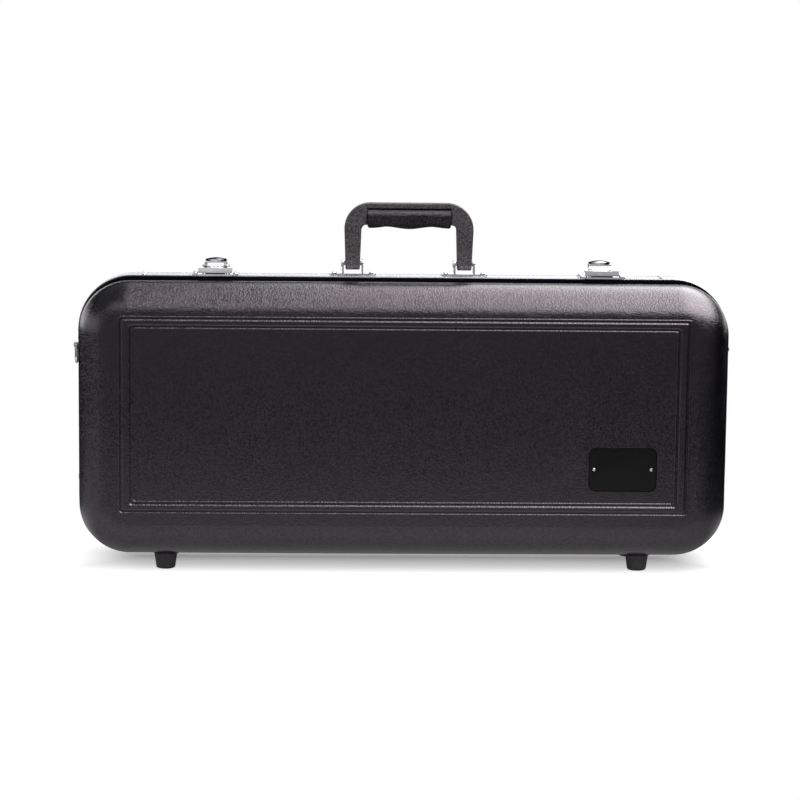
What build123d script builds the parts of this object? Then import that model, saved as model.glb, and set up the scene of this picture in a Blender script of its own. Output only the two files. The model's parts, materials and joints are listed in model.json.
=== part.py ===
from build123d import *
import os
from math import radians, tan

os.makedirs("parts", exist_ok=True)

# A moulded trumpet case that stands on its feet, hinge side down and handle side up.
# X runs along its length, the lid half is on -Y and the base half on +Y, and they meet
# at y = 0. The origin is on the floor under the middle of the case. Sizes are in mm.

# Overall case
case_length = 590.0         # over the valances, along X
case_height = 251.6         # over the valances, along Z
half_depth = 75.0           # from the parting plane to the panel bead of either half
corner_radius = 49.0        # corners of the outline, over the valances
foot_height = 14.5
hardware_gap = 0.3          # between pieces that pass each other as they move
hole_gap = 0.05             # radial room of a rivet, screw or pin in its hole
head_rounding = 0.6         # share of a head's height that its edge rounding takes

# Shells
shell_wall = 3.0
shell_draft = 3.5           # degrees
long_wall_crown = 0.8       # outward bow of the top and bottom walls at the panel face
shoulder_radius = 30.0
body_step = 0.8             # the body stands out from the rim that enters the valance
rim_groove = 2.5            # visible rim between valance and body
body_edge_round = 0.6

# Moulded panel on the large faces
panel_end_inset = 42.0      # from the end of the case to the outer groove
panel_side_inset = 39.3     # the same, from the top and bottom of the case
panel_end_band = 9.0        # between the outer and inner grooves, at the ends
panel_side_band = 7.3       # the same, along the long sides
panel_rise = 6.0            # panel centre above case centre
panel_groove_width = 1.8
panel_groove_depth = 0.9
panel_corner = 2.4
bead_proud = 0.8            # convex band between the two grooves
bead_side = 0.65            # height of the sloped sides of the band
bead_slope = 1.3            # width of the sloped sides of the band
ridge_width = 1.2           # low ridge along the other side of each groove
ridge_proud = 0.4
ridge_side = 0.3            # height of the sloped sides of the ridge
ridge_slope = 0.55          # width of the sloped sides of the ridge

# Badge place on the lid
badge_inset = 48.5          # badge centre from the end of the inner groove
badge_drop = 46.7           # below the panel centre
badge_length = 60.6
badge_height = 38.8
badge_corner = 6.0
badge_thickness = 1.0
badge_edge = 0.3
badge_recess = 1.4
badge_gap = 0.4
badge_lip_width = 1.8
badge_lip_proud = 0.5
badge_pin_spacing = 51.4
badge_pin_radius = 0.8
badge_pin_head_radius = 1.3
badge_pin_head_height = 0.5

# Valances
valance_width = 16.0        # along Y, each half
valance_proud = 2.0         # thickness of the outer web, outside the shell rim
valance_inner_web = 1.5
valance_inner_width = 12.0
valance_bridge = 5.0        # from the parting plane to the floor of the shell slot
valance_edge = 0.5
slot_gap = 0.1
parting_gap = 0.15          # each valance stops this short of the parting plane
tongue_thickness = 2.0
tongue_reach = 2.5          # past the parting plane
tongue_gap = 0.6
tongue_inset = 0.2          # below the outer face of the shell rim

# Rivets
rivet_radius = 1.6
rivet_head_radius = 2.4
rivet_head_height = 1.1
rivet_tail_radius = 2.3
rivet_tail_height = 0.9
rivet_line = 8.0            # from the parting plane
end_rivet_drop = 60.0       # below the case centre
top_rivet_inset = 10.0      # from where the corner starts

# Hinges
hinge_inset = 105.0         # outer hinges from the ends of the case
hinge_length = 44.0
hinge_leaf = 1.2
hinge_leaf_reach = 13.5     # from the parting plane
hinge_knuckle_radius = 2.3
hinge_knuckle_drop = 0.4    # between valance and knuckle
hinge_pin_radius = 1.2
hinge_pin_head = 1.9
hinge_rivet_spacing = 30.0
hinge_end_gap = 0.2         # along the pin, between knuckles
hinge_leaf_gap = 0.6        # between the two leaves when shut

# Handle
handle_block = 5.2          # corner block between the grip and a leg
handle_leg_top = 16.5       # width of a leg under the spine
handle_leg_foot = 13.0      # and at the pivot
handle_leg_splay = 1.3      # inner edge at the pivot outside its place under the spine
handle_top = 66.0           # above the valance
handle_spine = 5.0
handle_outer_corner = 24.0
handle_inner_corner = 4.6   # where a leg runs into its corner block
handle_shoulder = 3.5       # underside of the corner blocks, above the underside of the grip
handle_thickness = 15.0     # along Y at the spine
handle_leg_thickness = 12.0
handle_edge = 1.2
handle_pivot_height = 10.5  # above the valance
handle_pin_radius = 2.0
handle_pin_head_radius = 3.2
handle_pin_head = 1.0
grip_length = 75.8
grip_thickness = 20.0
grip_depth = 18.5
grip_end_gap = 0.2
grip_wave = 2.2             # hollows of the underside above its middle
grip_end_rise = 0.8         # ends of the underside above its middle
grip_hollow = 0.55          # hollows from the middle, as a share of half the grip
grip_round = 2.0
grip_side_round = 7.0
bracket_length = 42.6
bracket_width = 13.0
bracket_plate = 1.5
bracket_ear = 1.5
bracket_ear_gap = 1.6       # between an ear and the leg
bracket_ear_round = 4.5
bracket_ear_width = 11.0
bracket_rivet_spacing = 34.0

# Latches, with heights above the valance and distances from the parting plane
latch_inset = 119.0         # latch centre from the end of the case
hardware_shift = 4.5        # latches and handle sit this far right of those places
latch_length = 42.0
latch_plate = 1.2
latch_plate_start = 1.0
latch_plate_end = 15.5
latch_rivet_spacing = 36.6
latch_pivot_y = 5.0
latch_pivot_height = 6.5
latch_throw_y = 8.0         # hook pin behind the pivot
latch_throw_drop = 1.5      # hook pin below the pivot, which holds the latch shut
latch_ear = 1.2
latch_ear_half_span = 8.7   # to the outer face of an ear
latch_ear_round = 3.2
lever_half_width = 10.2
lever_wall = 1.2
lever_height = 11.0
lever_setback = 1.0         # from the pivot to the front edge
lever_tip = 23.0            # behind the pivot
lever_tip_round = 8.0
lever_eye_round = 2.6
boss_offset = 11.0          # boss centre behind the pivot
boss_radius = 9.8
boss_side = 2.0
boss_dome = 1.5
hook_half_width = 15.5
hook_plate = 1.2
hook_height = 6.5
hook_back = 0.5             # rear edge of the front plate, from the parting plane
hook_arm_gap = 1.0          # between lever and hook arm
hook_arm_low = 3.2
hook_skirt_front = 6.0
hook_claw_gap = 0.5         # between the claw and the keeper's plate
keeper_lip_y = 8.0          # front face of the lip, towards the lid
keeper_lip_height = 5.0
keeper_lip_half_width = 9.0
keeper_skirt_drop = 1.7
keeper_skirt_half_width = 15.5
keeper_skirt_round = 1.0
keeper_front_gap = 0.05
latch_pin_radius = 1.4
latch_pin_head = 2.0
hook_pin_radius = 1.2
hook_pin_head = 1.9
pin_head_height = 0.5

# Feet
foot_inset = 80.0           # from the ends of the case
foot_y = 34.0
foot_top_radius = 10.5
foot_bottom_radius = 8.5
foot_edge = 2.0
foot_pad_radius = 12.0
foot_pad_proud = 0.2        # below the body where the pad starts
foot_boss_radius = 6.0
foot_boss_height = 1.5
foot_recess_radius = 4.4
foot_recess_depth = 5.0
screw_radius = 2.0
screw_head_radius = 3.8
screw_head_height = 2.4

# Strap rings on the ends
strap_drop = 17.0           # ring bar below the end of the corner
strap_plate = 1.2
strap_plate_width = 11.0
strap_plate_height = 18.0
strap_eye_radius = 2.7
strap_eye_length = 8.0
strap_rivet_first = 6.6     # above the ring bar
strap_rivet_pitch = 7.5
ring_wire_radius = 1.3
ring_gap = 0.15             # radial room of the ring in its eye
ring_width = 12.0           # between wire centres
ring_drop = 16.0            # bar to the bottom of the ring, between wire centres

# Lining
insert_gap = 6.3            # between rim face and insert
insert_start = 1.0          # from the parting plane
insert_floor = 9.0
insert_edge_round = 24.0
lid_pad_gap = 12.0          # between inner wall and pad outline
lid_pad_thickness = 10.0
lid_pad_round = 4.0
bell_axis_rise = 18.0       # bell and leadpipe line above the case centre
bell_half_height = 65.0
bell_throat = 20.0
bell_inset = 23.0           # from the left end of the case to the bell's rim
bell_rim = 14.0             # these run from the bell's rim towards the mouthpiece end
bell_bend = 60.0
bell_bend_half_height = 36.0
bell_end = 142.0
tray_left = 97.0
wrap_left = 157.0
tray_right = 260.0
valve_left = 282.0
valve_right = 372.0
wrap_right = 488.0
mouthpiece_place = 67.0     # holder centre
wrap_top = 40.0
wrap_bottom = 96.0
valve_half_height = 110.0
pocket_round = 8.0
tray_low = 54.0
tray_high = 110.0
tray_depth = 48.0
tray_gap = 20.0             # from the valve pocket to the side tray
side_tray_inset = 40.0      # from the right end of the case
mouthpiece_drop = 84.0      # holder centre below the case centre
mouthpiece_pitch = 44.0
mouthpiece_bore = 9.5
mouthpiece_cup = 14.5
mouthpiece_cup_depth = 14.0
holder_length = 92.0
holder_height = 42.0
holder_depth = 50.0
holder_gap = 0.4
holder_floor = 4.0
holder_round = 5.0

# Heights and lines that follow from the sizes above
pad_drop = body_step + foot_pad_proud
rim_floor = foot_height + pad_drop
valance_floor = rim_floor - valance_proud
case_mid = valance_floor + case_height / 2
valance_top = valance_floor + case_height
end_x = case_length / 2
rim_length = case_length - 2 * valance_proud
rim_height = case_height - 2 * valance_proud
rim_radius = corner_radius - valance_proud
body_start = valance_width + rim_groove
face_y = half_depth - bead_proud
inner_face_y = face_y - shell_wall
panel_mid = case_mid + panel_rise
panel_outer = (case_length - 2 * panel_end_inset, case_height - 2 * panel_side_inset)
panel_inner = (panel_outer[0] - 2 * panel_end_band, panel_outer[1] - 2 * panel_side_band)
inner_web_face = shell_wall + slot_gap + valance_inner_web
rivet_grip = valance_proud + inner_web_face
hinge_axis_z = valance_floor - hinge_knuckle_drop - hinge_knuckle_radius


def save(name, solid):
    """Label a finished piece and write it under its node name."""
    solid.label = name
    export_step(solid, f"parts/{name}.step")


# Outlines. A distance u is measured outward from the face of the shell rim.


def outline(y, u, crown=0.0):
    """Rounded case outline at depth y towards the lid, grown by u, long sides bowed by crown."""
    half_l = rim_length / 2 + u
    low = case_mid - rim_height / 2 - u
    high = case_mid + rim_height / 2 + u
    with BuildSketch(Plane.XZ.offset(y)) as profile:
        with BuildLine():
            Line((-half_l, low), (-half_l, high))
            Line((half_l, low), (half_l, high))
            if crown > 0:
                ThreePointArc((-half_l, high), (0, high + crown), (half_l, high))
                ThreePointArc((-half_l, low), (0, low - crown), (half_l, low))
            else:
                Line((-half_l, high), (half_l, high))
                Line((-half_l, low), (half_l, low))
        make_face()
        fillet(profile.vertices(), rim_radius + u)
    return profile.sketch


def half_form(start, finish, u, edge_round):
    """Drafted, crowned body from one depth to another, rounded into its large face."""
    taper = abs(finish - start) * tan(radians(shell_draft))
    with BuildPart() as form:
        loft([outline(start, u), outline(finish, u - taper, long_wall_crown)], ruled=True)
        large_face = form.faces().sort_by(Axis.Y)[0 if finish > start else -1]
        fillet(large_face.edges(), edge_round)
    return form.part


def band(y, u_out, u_in):
    """Ring between two outlines."""
    with BuildSketch(Plane.XZ.offset(y)) as profile:
        add(outline(y, u_out).faces())
        add(outline(y, u_in).faces(), mode=Mode.SUBTRACT)
    return profile.sketch


def panel_ring(outer, inner):
    """Ring on the large face between two rectangles of given length and height."""
    with BuildSketch(Plane.XZ.offset(face_y)) as profile:
        with Locations((0, panel_mid)):
            RectangleRounded(*outer, panel_corner)
            RectangleRounded(*inner, panel_corner, mode=Mode.SUBTRACT)
    return profile.sketch


def grown(size, u):
    """Length and height of a rectangle grown by u on every side."""
    return size[0] + 2 * u, size[1] + 2 * u


# Rivet sites: where a rivet axis crosses the outer face of a valance, pointing outward.


def top_sites(xs, y):
    return [Location((x, y, valance_top)) for x in xs]


def bottom_sites(xs, y):
    return [Location((x, y, valance_floor), (180, 0, 0)) for x in xs]


def end_sites(zs, y):
    right = [Location((end_x, y, z), (0, 90, 0)) for z in zs]
    left = [Location((-end_x, y, z), (0, -90, 0)) for z in zs]
    return right + left


def pairs(centres, spacing):
    return [c + side * spacing / 2 for c in centres for side in (-1, 1)]


latch_x = end_x - latch_inset
block_x = grip_length / 2 + grip_end_gap
leg_inner_top = block_x + handle_block
leg_inner_foot = leg_inner_top + handle_leg_splay
leg_outer_top = leg_inner_top + handle_leg_top
leg_outer_foot = leg_inner_foot + handle_leg_foot
handle_leg_x = (leg_inner_foot + leg_outer_foot) / 2
hinge_x = end_x - hinge_inset
latch_centres = {"left": hardware_shift - latch_x, "right": hardware_shift + latch_x}
handle_centres = {"left": hardware_shift - handle_leg_x, "right": hardware_shift + handle_leg_x}
hinge_centres = {"left": -hinge_x, "centre": 0.0, "right": hinge_x}
end_signs = {"left": -1, "right": 1}
strap_z = valance_top - corner_radius - strap_drop
strap_rivet_z = [strap_z + strap_rivet_first, strap_z + strap_rivet_first + strap_rivet_pitch]

keeper_sites = top_sites(pairs(latch_centres.values(), latch_rivet_spacing), -rivet_line)
latch_sites = top_sites(pairs(latch_centres.values(), latch_rivet_spacing), rivet_line)
bracket_sites = top_sites(pairs(handle_centres.values(), bracket_rivet_spacing), rivet_line)
hinge_xs = pairs(hinge_centres.values(), hinge_rivet_spacing)
hinge_base_sites = bottom_sites(hinge_xs, rivet_line)
hinge_lid_sites = bottom_sites(hinge_xs, -rivet_line)
strap_sites = end_sites(strap_rivet_z, rivet_line)


def plain_sites(y):
    """Rivets that hold only valance and shell."""
    top_rivet_x = end_x - corner_radius - top_rivet_inset
    sites = top_sites([-top_rivet_x, top_rivet_x], y)
    sites += bottom_sites([-hinge_x / 2, hinge_x / 2], y)
    return sites + end_sites([case_mid - end_rivet_drop], y)


base_sites = latch_sites + bracket_sites + hinge_base_sites + strap_sites + plain_sites(rivet_line)
lid_sites = keeper_sites + hinge_lid_sites + plain_sites(-rivet_line)


def drill(sites, radius=rivet_radius + hole_gap):
    """Cut rivet holes in the piece being built."""
    with Locations(*sites):
        Cylinder(radius, 4 * rivet_grip, mode=Mode.SUBTRACT)


def rivet_group(sites, plate):
    """Rivets with domed heads on a plate of the given thickness and tails behind the inner web."""
    with BuildPart() as one:
        with Locations((0, 0, plate)):
            Cylinder(rivet_head_radius, rivet_head_height, align=(Align.CENTER, Align.CENTER, Align.MIN))
        fillet(one.edges().sort_by(Axis.Z)[-1], rivet_head_height * head_rounding)
        with Locations((0, 0, plate)):
            Cylinder(rivet_radius, plate + rivet_grip, align=(Align.CENTER, Align.CENTER, Align.MAX))
        with Locations((0, 0, -rivet_grip)):
            Cylinder(rivet_tail_radius, rivet_tail_height, align=(Align.CENTER, Align.CENTER, Align.MAX))
    with BuildPart() as group:
        with Locations(*sites):
            add(one.part)
    return group.part


# Shell halves. Both are moulded alike, and only the lid has the badge place.

with BuildPart() as shell_blank:
    add(half_form(body_start, face_y, body_step, shoulder_radius))
    fillet(shell_blank.faces().sort_by(Axis.Y)[-1].edges(), body_edge_round)
    add(half_form(body_start, inner_face_y, body_step - shell_wall, shoulder_radius - shell_wall),
        mode=Mode.SUBTRACT)
    extrude(band(valance_bridge, 0, -shell_wall), amount=body_start - valance_bridge + body_edge_round * 2)
    side = panel_groove_width / 2
    for size in (panel_inner, panel_outer):
        extrude(panel_ring(grown(size, side), grown(size, -side)), amount=-panel_groove_depth,
                mode=Mode.SUBTRACT)
    extrude(panel_ring(grown(panel_outer, -side), grown(panel_inner, side)), amount=bead_proud)
    bead_face = shell_blank.faces().sort_by(Axis.Y)[0]
    chamfer(bead_face.edges(), bead_slope, bead_side, reference=bead_face)
    inner_ridge = panel_ring(grown(panel_inner, -side), grown(panel_inner, -side - ridge_width))
    outer_ridge = panel_ring(grown(panel_outer, side + ridge_width), grown(panel_outer, side))
    for ridge in (inner_ridge, outer_ridge):
        extrude(ridge, amount=ridge_proud)
        ridge_face = shell_blank.faces(Select.LAST).sort_by(Axis.Y)[0]
        chamfer(ridge_face.edges(), ridge_slope, ridge_side, reference=ridge_face)


foot_x = end_x - foot_inset


def foot_positions(y):
    return [(-foot_x, y), (foot_x, y)]


def finish_shell(y, sites):
    """Add the pads and bosses under the feet and the holes for screws and rivets."""
    pad_top = rim_floor - body_step + shell_wall + foot_boss_height
    with Locations(*[(x, foot, foot_height) for x, foot in foot_positions(y)]):
        Cylinder(foot_pad_radius, pad_drop + foot_boss_height,
                 align=(Align.CENTER, Align.CENTER, Align.MIN))
        Cylinder(foot_boss_radius, pad_top - foot_height, align=(Align.CENTER, Align.CENTER, Align.MIN))
        Cylinder(screw_radius + hole_gap, 2 * foot_height, mode=Mode.SUBTRACT)
    drill(sites)


with BuildPart() as base_shell:
    mirror(shell_blank.part, about=Plane.XZ)
    finish_shell(foot_y, base_sites)
save("base_shell", base_shell.part)

badge_x = panel_inner[0] / 2 - badge_inset
badge_z = panel_mid - badge_drop
badge_floor_y = face_y - badge_recess


def badge_outline(y, grow):
    with BuildSketch(Plane.XZ.offset(y)) as profile:
        with Locations((badge_x, badge_z)):
            RectangleRounded(badge_length + 2 * grow, badge_height + 2 * grow, badge_corner + grow)
    return profile.sketch


badge_pins = [(badge_x - badge_pin_spacing / 2, badge_z), (badge_x + badge_pin_spacing / 2, badge_z)]


def badge_pin_outline(y, radius):
    with BuildSketch(Plane.XZ.offset(y)) as profile:
        with Locations(*badge_pins):
            Circle(radius)
    return profile.sketch


with BuildPart() as lid_shell:
    add(shell_blank.part)
    extrude(badge_outline(face_y, badge_gap + badge_lip_width), amount=badge_lip_proud)
    extrude(badge_outline(face_y + badge_lip_proud, badge_gap), amount=-badge_recess - badge_lip_proud,
            mode=Mode.SUBTRACT)
    extrude(badge_pin_outline(badge_floor_y, badge_pin_radius + hole_gap), amount=-shell_wall,
            mode=Mode.SUBTRACT)
    finish_shell(-foot_y, lid_sites)
save("lid_shell", lid_shell.part)

with BuildPart() as nameplate:
    extrude(badge_outline(badge_floor_y, 0), amount=badge_thickness)
    fillet(nameplate.faces().sort_by(Axis.Y)[0].edges(), badge_edge)
    extrude(badge_pin_outline(badge_floor_y, badge_pin_radius + hole_gap), amount=badge_thickness,
            mode=Mode.SUBTRACT)
save("nameplate", nameplate.part)

with BuildPart() as nameplate_pins:
    plate_face_y = badge_floor_y + badge_thickness
    extrude(badge_pin_outline(plate_face_y, badge_pin_head_radius), amount=badge_pin_head_height)
    fillet(nameplate_pins.faces().sort_by(Axis.Y)[:2].edges(), badge_pin_head_height * head_rounding)
    pin_reach = badge_thickness + shell_wall - badge_recess
    extrude(badge_pin_outline(plate_face_y, badge_pin_radius), amount=-pin_reach)
save("nameplate_pins", nameplate_pins.part)

# Valances: an outer web, a slot for the shell rim, a bridge and an inner web.

with BuildPart() as valance_blank:
    extrude(outline(parting_gap, valance_proud), amount=valance_width - parting_gap)
    fillet(valance_blank.faces().sort_by(Axis.Y)[0].edges(), valance_edge)
    fillet(valance_blank.faces().sort_by(Axis.Y)[-1].edges(), valance_edge)
    extrude(outline(valance_bridge, slot_gap), amount=valance_width - valance_bridge, mode=Mode.SUBTRACT)
    extrude(outline(parting_gap, -inner_web_face), amount=valance_bridge - parting_gap, mode=Mode.SUBTRACT)
    extrude(band(valance_bridge, -shell_wall - slot_gap, -inner_web_face),
            amount=valance_inner_width - valance_bridge)

with BuildPart() as base_valance:
    mirror(valance_blank.part, about=Plane.XZ)
    tongue = band(-parting_gap, -tongue_inset, -tongue_inset - tongue_thickness)
    extrude(tongue, amount=parting_gap + tongue_reach)
    chamfer(base_valance.faces().sort_by(Axis.Y)[0].edges(), tongue_thickness / 4)
    drill(base_sites)
save("base_valance", base_valance.part)

with BuildPart() as lid_valance:
    add(valance_blank.part)
    groove = band(parting_gap, tongue_gap - tongue_inset, -tongue_inset - tongue_thickness - tongue_gap)
    extrude(groove, amount=tongue_reach + tongue_gap - parting_gap, mode=Mode.SUBTRACT)
    drill(lid_sites)
save("lid_valance", lid_valance.part)

save("base_valance_rivets", rivet_group(plain_sites(rivet_line), 0))
save("lid_valance_rivets", rivet_group(plain_sites(-rivet_line), 0))

# Hinges under the case: two leaves with knuckles on a pin, the pin's line below the parting line.

knuckle_length = hinge_length / 3
hinge_leaf_low = valance_floor - hinge_leaf
hinge_rivets = [(side * hinge_rivet_spacing / 2, rivet_line) for side in (-1, 1)]


def knuckles(spans):
    """Hinge knuckles between pairs of X positions, drawn in section and bored later."""
    for low, high in spans:
        with Locations(((low + high) / 2, 0, hinge_axis_z)):
            Cylinder(hinge_knuckle_radius, high - low, rotation=(0, 90, 0))


def hinge_leaf_part(own, other):
    """Leaf on the base side, with its own knuckles and cut back round the other leaf's."""
    clear = hinge_knuckle_radius + hinge_leaf_gap
    with BuildPart() as leaf:
        with BuildSketch(Plane.XY.offset(hinge_leaf_low)) as plan:
            with Locations((0, (hinge_leaf_gap / 2 + hinge_leaf_reach) / 2)):
                Rectangle(hinge_length, hinge_leaf_reach - hinge_leaf_gap / 2)
            far_corners = plan.vertices().group_by(Axis.Y)[-1]
            fillet(far_corners, hinge_leaf)
            for low, high in other:
                with Locations(((low + high) / 2, 0)):
                    Rectangle(high - low + 2 * hinge_end_gap, 2 * clear, mode=Mode.SUBTRACT)
        extrude(amount=hinge_leaf)
        knuckles(own)
        with Locations((0, 0, hinge_axis_z)):
            Cylinder(hinge_pin_radius + hole_gap, 2 * hinge_length, rotation=(0, 90, 0), mode=Mode.SUBTRACT)
        with Locations(*hinge_rivets):
            Cylinder(rivet_radius + hole_gap, 4 * valance_floor, mode=Mode.SUBTRACT)
    return leaf.part


half_knuckle = knuckle_length / 2
inner_span = [(-half_knuckle + hinge_end_gap / 2, half_knuckle - hinge_end_gap / 2)]
outer_spans = [(-hinge_length / 2, -half_knuckle - hinge_end_gap / 2)]
outer_spans += [(half_knuckle + hinge_end_gap / 2, hinge_length / 2)]
base_leaf = hinge_leaf_part(outer_spans, inner_span)
lid_leaf = hinge_leaf_part(inner_span, outer_spans).mirror(Plane.XZ)

with BuildPart() as hinge_pin:
    with Locations((0, 0, hinge_axis_z)):
        Cylinder(hinge_pin_radius, hinge_length, rotation=(0, 90, 0))
    for side, align in ((-1, Align.MAX), (1, Align.MIN)):
        with Locations((side * hinge_length / 2, 0, hinge_axis_z)):
            Cylinder(hinge_pin_head, 2 * pin_head_height, rotation=(0, 90, 0),
                     align=(Align.CENTER, Align.CENTER, align))

for side, x in hinge_centres.items():
    save(f"hinge_base_leaf_{side}", base_leaf.moved(Location((x, 0, 0))))
    save(f"hinge_lid_leaf_{side}", lid_leaf.moved(Location((x, 0, 0))))
    save(f"hinge_pin_{side}", hinge_pin.part.moved(Location((x, 0, 0))))
save("hinge_base_rivets", rivet_group(hinge_base_sites, hinge_leaf))
save("hinge_lid_rivets", rivet_group(hinge_lid_sites, hinge_leaf))

# Carrying handle: brackets with two ears each, pins, a frame with a spine and two legs, and a grip.

pivot_z = valance_top + handle_pivot_height
ear_inner = handle_leg_foot / 2 + bracket_ear_gap
ear_outer = ear_inner + bracket_ear

with BuildPart() as bracket:
    with BuildSketch(Plane.XY.offset(valance_top)) as plan:
        with Locations((0, rivet_line)):
            RectangleRounded(bracket_length, bracket_width, bracket_width / 4)
        with Locations(*[(side * bracket_rivet_spacing / 2, rivet_line) for side in (-1, 1)]):
            Circle(rivet_radius + hole_gap, mode=Mode.SUBTRACT)
    extrude(amount=bracket_plate)
    with BuildSketch(Plane.YZ) as ear:
        with BuildLine():
            Polyline((rivet_line - bracket_ear_width / 2, valance_top),
                     (rivet_line + bracket_ear_width / 2, valance_top),
                     (rivet_line + bracket_ear_round, pivot_z),
                     (rivet_line - bracket_ear_round, pivot_z), close=True)
        make_face()
        with Locations((rivet_line, pivot_z)):
            Circle(bracket_ear_round)
            Circle(handle_pin_radius + hole_gap, mode=Mode.SUBTRACT)
    for low in (-ear_outer, ear_inner):
        extrude(ear.sketch.moved(Location((low, 0, 0))), amount=bracket_ear)

with BuildPart() as handle_pin:
    with Locations((0, rivet_line, pivot_z)):
        Cylinder(handle_pin_radius, 2 * ear_outer, rotation=(0, 90, 0))
    for side, align in ((-1, Align.MAX), (1, Align.MIN)):
        with Locations((side * ear_outer, rivet_line, pivot_z)):
            Cylinder(handle_pin_head_radius, handle_pin_head, rotation=(0, 90, 0),
                     align=(Align.CENTER, Align.CENTER, align))
    for end in (0, -1):
        rim = handle_pin.edges().filter_by(GeomType.CIRCLE).group_by(Axis.X)[end]
        fillet(rim, handle_pin_head * head_rounding)

for side, x in handle_centres.items():
    save(f"handle_bracket_{side}", bracket.part.moved(Location((x, 0, 0))))
    save(f"handle_pin_{side}", handle_pin.part.moved(Location((x, 0, 0))))
save("handle_bracket_rivets", rivet_group(bracket_sites, bracket_plate))

handle_top_z = valance_top + handle_top
leg_low_z = pivot_z - handle_leg_thickness / 2
spine_low_z = handle_top_z - handle_spine
bend_z = handle_top_z - handle_outer_corner
grip_low_z = spine_low_z - grip_depth
block_low_z = grip_low_z + handle_shoulder

with BuildPart() as handle_frame:
    with BuildSketch(Plane.XZ) as front:
        with BuildLine():
            Polyline((0, handle_top_z), (leg_outer_top, handle_top_z), (leg_outer_foot, leg_low_z),
                     (leg_inner_foot, leg_low_z), (leg_inner_top, block_low_z), (block_x, block_low_z),
                     (block_x, spine_low_z), (0, spine_low_z), close=True)
        make_face()
        for corner, radius in (((leg_outer_top, handle_top_z), handle_outer_corner),
                               ((leg_inner_top, block_low_z), handle_inner_corner)):
            fillet(front.vertices().sort_by_distance(corner)[0], radius)
        mirror(about=Plane.YZ)
    extrude(front.sketch, amount=handle_thickness, both=True)
    with BuildSketch(Plane.YZ) as side_view:
        with BuildLine():
            Polyline((-handle_leg_thickness / 2, pivot_z), (handle_leg_thickness / 2, pivot_z),
                     (handle_thickness / 2, bend_z), (handle_thickness / 2, handle_top_z),
                     (-handle_thickness / 2, handle_top_z), (-handle_thickness / 2, bend_z), close=True)
        make_face()
        with Locations((0, pivot_z)):
            Circle(handle_leg_thickness / 2)
    extrude(side_view.sketch, amount=leg_outer_top, both=True, mode=Mode.INTERSECT)
    face_edges = [edge for edge in handle_frame.edges()
                  if abs(edge.center().Y) > handle_leg_thickness / 2 - hole_gap
                  and edge.center().Z > leg_low_z]
    fillet(face_edges, handle_edge)
    with Locations((0, 0, pivot_z)):
        Cylinder(handle_pin_radius + hole_gap, 3 * leg_outer_top, rotation=(0, 90, 0), mode=Mode.SUBTRACT)
save("handle_frame", handle_frame.part.moved(Location((hardware_shift, rivet_line, 0))))

with BuildPart() as handle_grip:
    with BuildSketch(Plane.XZ) as front:
        grip_end = grip_length / 2
        wave_end = grip_end - grip_round
        end_low_z = grip_low_z + grip_end_rise
        round_top = end_low_z + grip_round
        with BuildLine():
            Polyline((-grip_end, round_top), (-grip_end, spine_low_z), (grip_end, spine_low_z),
                     (grip_end, round_top))
            RadiusArc((grip_end, round_top), (wave_end, end_low_z), grip_round)
            Spline((wave_end, end_low_z), (grip_end * grip_hollow, grip_low_z + grip_wave), (0, grip_low_z),
                   (-grip_end * grip_hollow, grip_low_z + grip_wave), (-wave_end, end_low_z),
                   tangents=[(-1, 0), (-1, 0)])
            RadiusArc((-wave_end, end_low_z), (-grip_end, round_top), grip_round)
        make_face()
    extrude(front.sketch, amount=grip_thickness / 2, both=True)
    with BuildSketch(Plane.YZ) as side_view:
        with Locations((0, spine_low_z - (grip_depth + grip_wave) / 2)):
            RectangleRounded(grip_thickness, grip_depth + grip_wave, grip_side_round)
    extrude(side_view.sketch, amount=grip_length, both=True, mode=Mode.INTERSECT)
save("handle_grip", handle_grip.part.moved(Location((hardware_shift, rivet_line, 0))))

# Draw latches: a base plate with ears on the base half, a lever, a hook that the lever draws
# tight past dead centre, and a keeper on the lid. Each is drawn in the middle and placed twice.

latch_pivot_z = valance_top + latch_pivot_height
hook_pivot_y = latch_pivot_y + latch_throw_y
hook_pivot_z = latch_pivot_z - latch_throw_drop
latch_rivet_xs = [-latch_rivet_spacing / 2, latch_rivet_spacing / 2]
arm_inner = lever_half_width + hook_arm_gap
arm_outer = arm_inner + hook_plate


def bore_x(y, z, radius):
    with Locations((0, y, z)):
        Cylinder(radius, 4 * latch_length, rotation=(0, 90, 0), mode=Mode.SUBTRACT)


def cheeks(sketch, inner, thickness):
    """Extrude a side profile into two walls, one each side of the middle."""
    extrude(sketch.moved(Location((inner, 0, 0))), amount=thickness)
    extrude(sketch.moved(Location((-inner - thickness, 0, 0))), amount=thickness)


with BuildPart() as latch_base:
    with BuildSketch(Plane.XY.offset(valance_top)) as plan:
        with Locations((0, (latch_plate_start + latch_plate_end) / 2)):
            RectangleRounded(latch_length, latch_plate_end - latch_plate_start, 2 * latch_plate)
        with Locations(*[(x, rivet_line) for x in latch_rivet_xs]):
            Circle(rivet_radius + hole_gap, mode=Mode.SUBTRACT)
    extrude(amount=latch_plate)
    with BuildSketch(Plane.YZ) as ear:
        with BuildLine():
            Polyline((latch_plate_start + hardware_gap, valance_top),
                     (latch_pivot_y + latch_ear_round + latch_plate, valance_top),
                     (latch_pivot_y + latch_ear_round, latch_pivot_z),
                     (latch_pivot_y - latch_ear_round, latch_pivot_z), close=True)
        make_face()
        with Locations((latch_pivot_y, latch_pivot_z)):
            Circle(latch_ear_round)
    cheeks(ear.sketch, latch_ear_half_span - latch_ear, latch_ear)
    bore_x(latch_pivot_y, latch_pivot_z, latch_pin_radius + hole_gap)

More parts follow.
